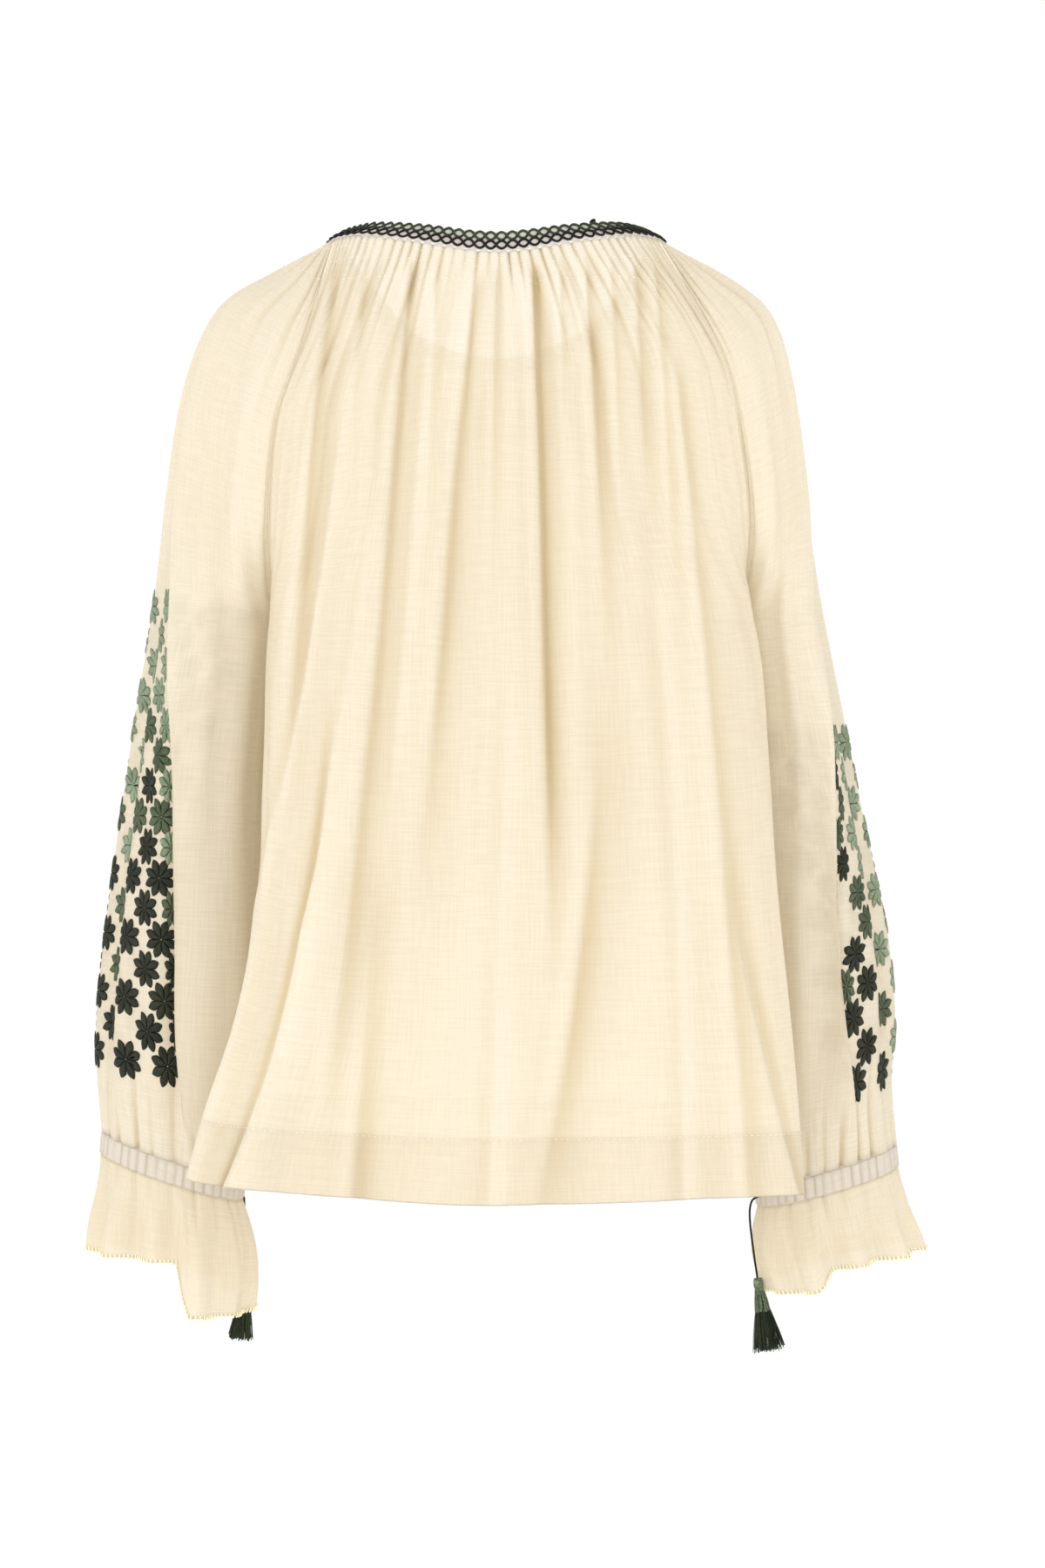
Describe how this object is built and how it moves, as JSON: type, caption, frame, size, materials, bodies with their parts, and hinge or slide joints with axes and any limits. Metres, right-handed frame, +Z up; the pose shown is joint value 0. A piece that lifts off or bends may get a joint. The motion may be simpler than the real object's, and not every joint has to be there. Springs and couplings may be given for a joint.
{
  "type": "linen top",
  "caption": "Sheer natural linen blouse with raglan sleeves, gathered into a narrow stitched neckband, with ruffled cuffs and tasselled wrist ties.",
  "frame": {"origin": "level with the shoulder line, in the middle of the neck opening, where the wearer's shoulders carry it", "axes": "+Z up, -Y is the front of the garment, +X is the wearer's left"},
  "size_m": [0.6055, 0.2976, 0.809],
  "materials": {
    "linen": "sheer plain weave, matte",
    "band": "folded linen, matte",
    "casing": "doubled linen, matte",
    "cord": "cotton cord, satin",
    "tassel": "cotton thread, satin"
  },
  "bodies": {
    "root": {"back_panel": "linen", "front_panel": "linen", "sleeve_left": "linen", "sleeve_right": "linen", "cuff_ruffle_left": "linen", "cuff_ruffle_right": "linen", "neckband": "band", "cuff_casing_left": "casing", "cuff_casing_right": "casing", "tie_cord_left": "cord", "tie_cord_right": "cord", "tassel_left": "tassel", "tassel_right": "tassel"}
  },
  "joints": []
}
